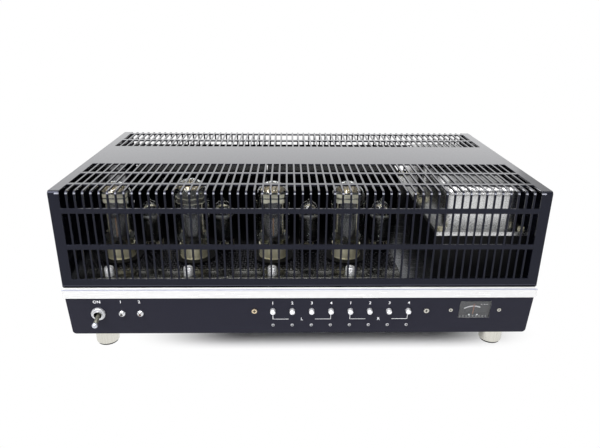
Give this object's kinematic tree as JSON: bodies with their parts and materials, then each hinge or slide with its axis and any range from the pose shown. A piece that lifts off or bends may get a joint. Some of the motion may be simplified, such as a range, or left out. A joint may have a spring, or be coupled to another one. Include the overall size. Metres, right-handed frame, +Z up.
{
  "type": "tube power amplifier",
  "caption": "Low stereo tube amplifier under a slotted dark bonnet: bright deck edge, leaning grey panel with switch, lamps, buttons, trimmers and a small meter, on round feet.",
  "frame": {"origin": "on the surface it stands on, under the middle of its outer box", "axes": "+X to the right seen from the front, +Y from the front panel to the rear, +Z up"},
  "size_m": [0.456, 0.2904, 0.1715],
  "materials": {
    "bonnet_steel": "satin powder coat",
    "bright_aluminium": "fine brushed, clear anodised",
    "panel_paint": "satin paint",
    "black_steel": "satin black paint",
    "polished_steel": "polished, punched sheet",
    "core_black": "matt black varnish",
    "bell_silver": "satin silver",
    "winding": "enamelled wire, potted",
    "case_enamel": "black enamel over potting compound",
    "nickel": "nickel plated",
    "chrome": "polished",
    "trimmer_metal": "turned",
    "tube_glass": "clear",
    "anode_metal": "carbonised",
    "mica": "natural mica",
    "socket_plastic": "moulded",
    "lamp_lens": "tinted",
    "dial_paint": "matt dial paint",
    "needle_paint": "dull orange paint",
    "window_clear": "clear acrylic",
    "board": "varnished board",
    "component_plastic": "moulded and sleeved parts",
    "rubber": "moulded"
  },
  "bodies": {
    "amplifier": {"deck": "bright_aluminium", "feet": "bright_aluminium", "front_panel": "panel_paint", "chassis": "black_steel", "bottom_plate": "black_steel", "tube_platform": "polished_steel", "transformer_cores": "core_black", "transformer_bells": "bell_silver", "transformer_coils": "winding", "output_cases": "case_enamel", "power_tube_bases": "nickel", "transformer_bolts": "nickel", "panel_screws": "nickel", "tube_fuses": "chrome", "toggle_bush": "chrome", "toggle_nut": "chrome", "lamp_bezels": "chrome", "input_jacks": "chrome", "terminal_screws": "chrome", "board_spacers": "chrome", "power_tube_glass": "tube_glass", "driver_tube_glass": "tube_glass", "power_tube_anodes": "anode_metal", "driver_tube_anodes": "anode_metal", "power_tube_micas": "mica", "tube_sockets": "socket_plastic", "control_bodies": "socket_plastic", "toggle_body": "socket_plastic", "speaker_strip": "socket_plastic", "mains_inlet": "socket_plastic", "mains_fuse": "socket_plastic", "meter_case": "socket_plastic", "lamp_lenses": "lamp_lens", "meter_dial": "dial_paint", "meter_window": "window_clear", "circuit_boards": "board", "board_parts": "component_plastic", "foot_pads": "rubber"},
    "bonnet": {"bonnet_front": "bonnet_steel", "bonnet_top": "bonnet_steel", "bonnet_rear": "bonnet_steel", "bonnet_ends": "bonnet_steel"},
    "switch_lever": {"toggle_lever": "chrome"},
    "needle": {"meter_needle": "needle_paint"},
    "push_1": {"button_1": "chrome"},
    "trim_1": {"trimmer_1": "trimmer_metal"},
    "push_2": {"button_2": "chrome"},
    "trim_2": {"trimmer_2": "trimmer_metal"},
    "push_3": {"button_3": "chrome"},
    "trim_3": {"trimmer_3": "trimmer_metal"},
    "push_4": {"button_4": "chrome"},
    "trim_4": {"trimmer_4": "trimmer_metal"},
    "push_5": {"button_5": "chrome"},
    "trim_5": {"trimmer_5": "trimmer_metal"},
    "push_6": {"button_6": "chrome"},
    "trim_6": {"trimmer_6": "trimmer_metal"},
    "push_7": {"button_7": "chrome"},
    "trim_7": {"trimmer_7": "trimmer_metal"},
    "push_8": {"button_8": "chrome"},
    "trim_8": {"trimmer_8": "trimmer_metal"}
  },
  "joints": [
    {"name": "bonnet_lift", "type": "slide", "parent": "amplifier", "child": "bonnet", "axis": [0, 0, 1], "range_m": [0, 0.13]},
    {"name": "switch_throw", "type": "hinge", "parent": "amplifier", "child": "switch_lever", "pos_m": [-0.197, -0.12439, 0.04808], "axis": [-1, 0, 0], "range_deg": [0, 22]},
    {"name": "needle_swing", "type": "hinge", "parent": "amplifier", "child": "needle", "pos_m": [0.1704, -0.12344, 0.03993], "axis": [0, 0.9925, 0.1219], "range_deg": [-42, 42], "stiffness_Nm_per_rad": 0.0001},
    {"name": "button_1_press", "type": "slide", "parent": "amplifier", "child": "push_1", "axis": [0, 0.9925, 0.1219], "range_m": [0, 0.0025], "stiffness_N_per_m": 400},
    {"name": "trimmer_1_turn", "type": "hinge", "parent": "amplifier", "child": "trim_1", "pos_m": [-0.02809, -0.12698, 0.03225], "axis": [0, 0.9925, 0.1219], "range_deg": [-140, 140]},
    {"name": "button_2_press", "type": "slide", "parent": "amplifier", "child": "push_2", "axis": [0, 0.9925, 0.1219], "range_m": [0, 0.0025], "stiffness_N_per_m": 400},
    {"name": "trimmer_2_turn", "type": "hinge", "parent": "amplifier", "child": "trim_2", "pos_m": [-0.00915, -0.12698, 0.03225], "axis": [0, 0.9925, 0.1219], "range_deg": [-140, 140]},
    {"name": "button_3_press", "type": "slide", "parent": "amplifier", "child": "push_3", "axis": [0, 0.9925, 0.1219], "range_m": [0, 0.0025], "stiffness_N_per_m": 400},
    {"name": "trimmer_3_turn", "type": "hinge", "parent": "amplifier", "child": "trim_3", "pos_m": [0.00979, -0.12698, 0.03225], "axis": [0, 0.9925, 0.1219], "range_deg": [-140, 140]},
    {"name": "button_4_press", "type": "slide", "parent": "amplifier", "child": "push_4", "axis": [0, 0.9925, 0.1219], "range_m": [0, 0.0025], "stiffness_N_per_m": 400},
    {"name": "trimmer_4_turn", "type": "hinge", "parent": "amplifier", "child": "trim_4", "pos_m": [0.02873, -0.12698, 0.03225], "axis": [0, 0.9925, 0.1219], "range_deg": [-140, 140]},
    {"name": "button_5_press", "type": "slide", "parent": "amplifier", "child": "push_5", "axis": [0, 0.9925, 0.1219], "range_m": [0, 0.0025], "stiffness_N_per_m": 400},
    {"name": "trimmer_5_turn", "type": "hinge", "parent": "amplifier", "child": "trim_5", "pos_m": [0.04767, -0.12698, 0.03225], "axis": [0, 0.9925, 0.1219], "range_deg": [-140, 140]},
    {"name": "button_6_press", "type": "slide", "parent": "amplifier", "child": "push_6", "axis": [0, 0.9925, 0.1219], "range_m": [0, 0.0025], "stiffness_N_per_m": 400},
    {"name": "trimmer_6_turn", "type": "hinge", "parent": "amplifier", "child": "trim_6", "pos_m": [0.06661, -0.12698, 0.03225], "axis": [0, 0.9925, 0.1219], "range_deg": [-140, 140]},
    {"name": "button_7_press", "type": "slide", "parent": "amplifier", "child": "push_7", "axis": [0, 0.9925, 0.1219], "range_m": [0, 0.0025], "stiffness_N_per_m": 400},
    {"name": "trimmer_7_turn", "type": "hinge", "parent": "amplifier", "child": "trim_7", "pos_m": [0.08555, -0.12698, 0.03225], "axis": [0, 0.9925, 0.1219], "range_deg": [-140, 140]},
    {"name": "button_8_press", "type": "slide", "parent": "amplifier", "child": "push_8", "axis": [0, 0.9925, 0.1219], "range_m": [0, 0.0025], "stiffness_N_per_m": 400},
    {"name": "trimmer_8_turn", "type": "hinge", "parent": "amplifier", "child": "trim_8", "pos_m": [0.10449, -0.12698, 0.03225], "axis": [0, 0.9925, 0.1219], "range_deg": [-140, 140]}
  ]
}
